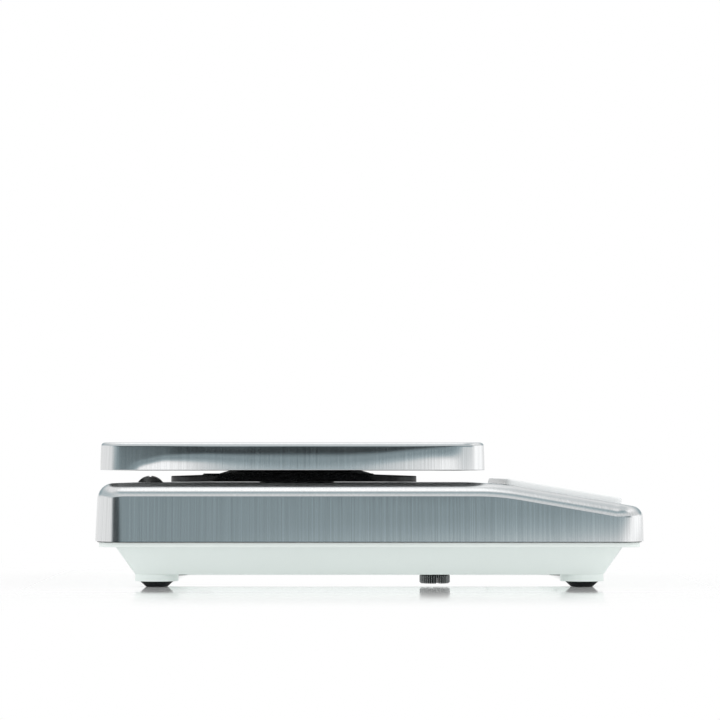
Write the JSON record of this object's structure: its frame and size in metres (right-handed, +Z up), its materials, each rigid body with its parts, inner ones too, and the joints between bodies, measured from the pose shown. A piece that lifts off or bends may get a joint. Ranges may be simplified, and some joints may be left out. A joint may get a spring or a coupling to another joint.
{
  "type": "kitchen scale",
  "caption": "Compact stainless bench scale for the kitchen: lift-off pan on a black spider, sloping display end with push keys, tapered white base on rubber feet.",
  "frame": {"origin": "under the middle of the scale, on the surface that it stands on", "axes": "+X towards the display end, +Y towards the side away from the lock screw, +Z up"},
  "size_m": [0.2474, 0.176, 0.0655],
  "materials": {
    "stainless": "brushed stainless steel",
    "black_casting": "black powder coat on a die casting",
    "black_rubber": "matt black rubber",
    "white_moulding": "satin white moulding",
    "panel_moulding": "satin light grey moulding",
    "clear_window": "clear acrylic",
    "display_glass": "grey-green display glass",
    "key_moulding": "satin grey moulding",
    "cell_aluminium": "milled aluminium",
    "gauge_coating": "white silicone coating",
    "zinc_steel": "zinc plated steel",
    "screw_nickel": "nickel plated",
    "thumb_screw_steel": "turned and knurled steel",
    "insert_brass": "plain brass",
    "washer_nylon": "natural nylon",
    "circuit_board": "green solder mask",
    "component_black": "black moulded parts",
    "cable_sheath": "grey cable sheath",
    "lead_sheath": "red and black lead sheath",
    "battery_can": "plain lacquered can"
  },
  "bodies": {
    "base": {"top_cover": "stainless", "foot_front_right": "black_rubber", "foot_front_left": "black_rubber", "foot_rear_right": "black_rubber", "foot_rear_left": "black_rubber", "post_seal": "black_rubber", "base_tray": "white_moulding", "panel_bezel": "panel_moulding", "display_window": "clear_window", "lcd_panel": "display_glass", "load_cell": "cell_aluminium", "strain_gauges": "gauge_coating", "load_cell_pedestal": "zinc_steel", "chassis_plate": "zinc_steel", "cover_standoffs": "zinc_steel", "overload_stops": "zinc_steel", "overload_stop_nuts": "zinc_steel", "load_cell_screws": "zinc_steel", "chassis_screws": "zinc_steel", "front_cover_screws": "zinc_steel", "board_screws": "zinc_steel", "cover_screw": "screw_nickel", "lock_screw_insert": "insert_brass", "cable_clips": "washer_nylon", "cable_connector": "washer_nylon", "lcd_holder": "washer_nylon", "main_board": "circuit_board", "board_components": "component_black", "tact_switches": "component_black", "battery_clip": "component_black", "load_cell_cable": "cable_sheath", "battery_lead": "lead_sheath", "battery": "battery_can"},
    "platform": {"pan_support": "black_casting", "support_pads": "black_rubber", "support_screws": "zinc_steel", "carrier_plate": "zinc_steel", "end_spacer": "zinc_steel", "carrier_screws": "zinc_steel"},
    "pan": {"weighing_pan": "stainless", "pan_locator": "stainless"},
    "lock_washer": {"lock_screw_washer": "washer_nylon"},
    "lock_screw": {"lock_screw": "thumb_screw_steel"},
    "battery_door": {"battery_door": "white_moulding"},
    "power_key": {"power_key": "key_moulding", "power_plunger": "component_black"},
    "tare_key": {"tare_key": "key_moulding", "tare_plunger": "component_black"},
    "unit_key": {"unit_key": "key_moulding", "unit_plunger": "component_black"},
    "hold_key": {"hold_key": "key_moulding", "hold_plunger": "component_black"}
  },
  "joints": [
    {"name": "platform_press", "type": "slide", "parent": "base", "child": "platform", "axis": [0, 0, -1], "range_m": [0, 0.0003], "stiffness_N_per_m": 30000, "springref_m": -0.0005, "deforming": ["load_cell", "strain_gauges"]},
    {"name": "pan_lift", "type": "slide", "parent": "platform", "child": "pan", "axis": [0, 0, 1], "range_m": [0, 0.08]},
    {"name": "lock_screw_lift", "type": "slide", "parent": "base", "child": "lock_washer", "axis": [0, 0, 1], "range_m": [0, 0.003]},
    {"name": "lock_screw_turn", "type": "hinge", "parent": "lock_washer", "child": "lock_screw", "pos_m": [0.0302, -0.05, 0.004], "axis": [0, 0, 1], "range_deg": [0, 1350]},
    {"name": "battery_door_swing", "type": "hinge", "parent": "base", "child": "battery_door", "pos_m": [0.06078, 0.022, 0.0076], "axis": [0, 1, 0], "range_deg": [0, 90]},
    {"name": "power_key_press", "type": "slide", "parent": "base", "child": "power_key", "axis": [-0.1668, 0, -0.986], "range_m": [0, 0.0006], "stiffness_N_per_m": 1500, "springref_m": -0.0004},
    {"name": "tare_key_press", "type": "slide", "parent": "base", "child": "tare_key", "axis": [-0.1668, 0, -0.986], "range_m": [0, 0.0006], "stiffness_N_per_m": 1500, "springref_m": -0.0004},
    {"name": "unit_key_press", "type": "slide", "parent": "base", "child": "unit_key", "axis": [-0.1668, 0, -0.986], "range_m": [0, 0.0006], "stiffness_N_per_m": 1500, "springref_m": -0.0004},
    {"name": "hold_key_press", "type": "slide", "parent": "base", "child": "hold_key", "axis": [-0.1668, 0, -0.986], "range_m": [0, 0.0006], "stiffness_N_per_m": 1500, "springref_m": -0.0004}
  ],
  "couplings": [
    {"joint": "lock_screw_turn", "follows": "lock_screw_lift", "rad_per_m": 7853.9}
  ]
}
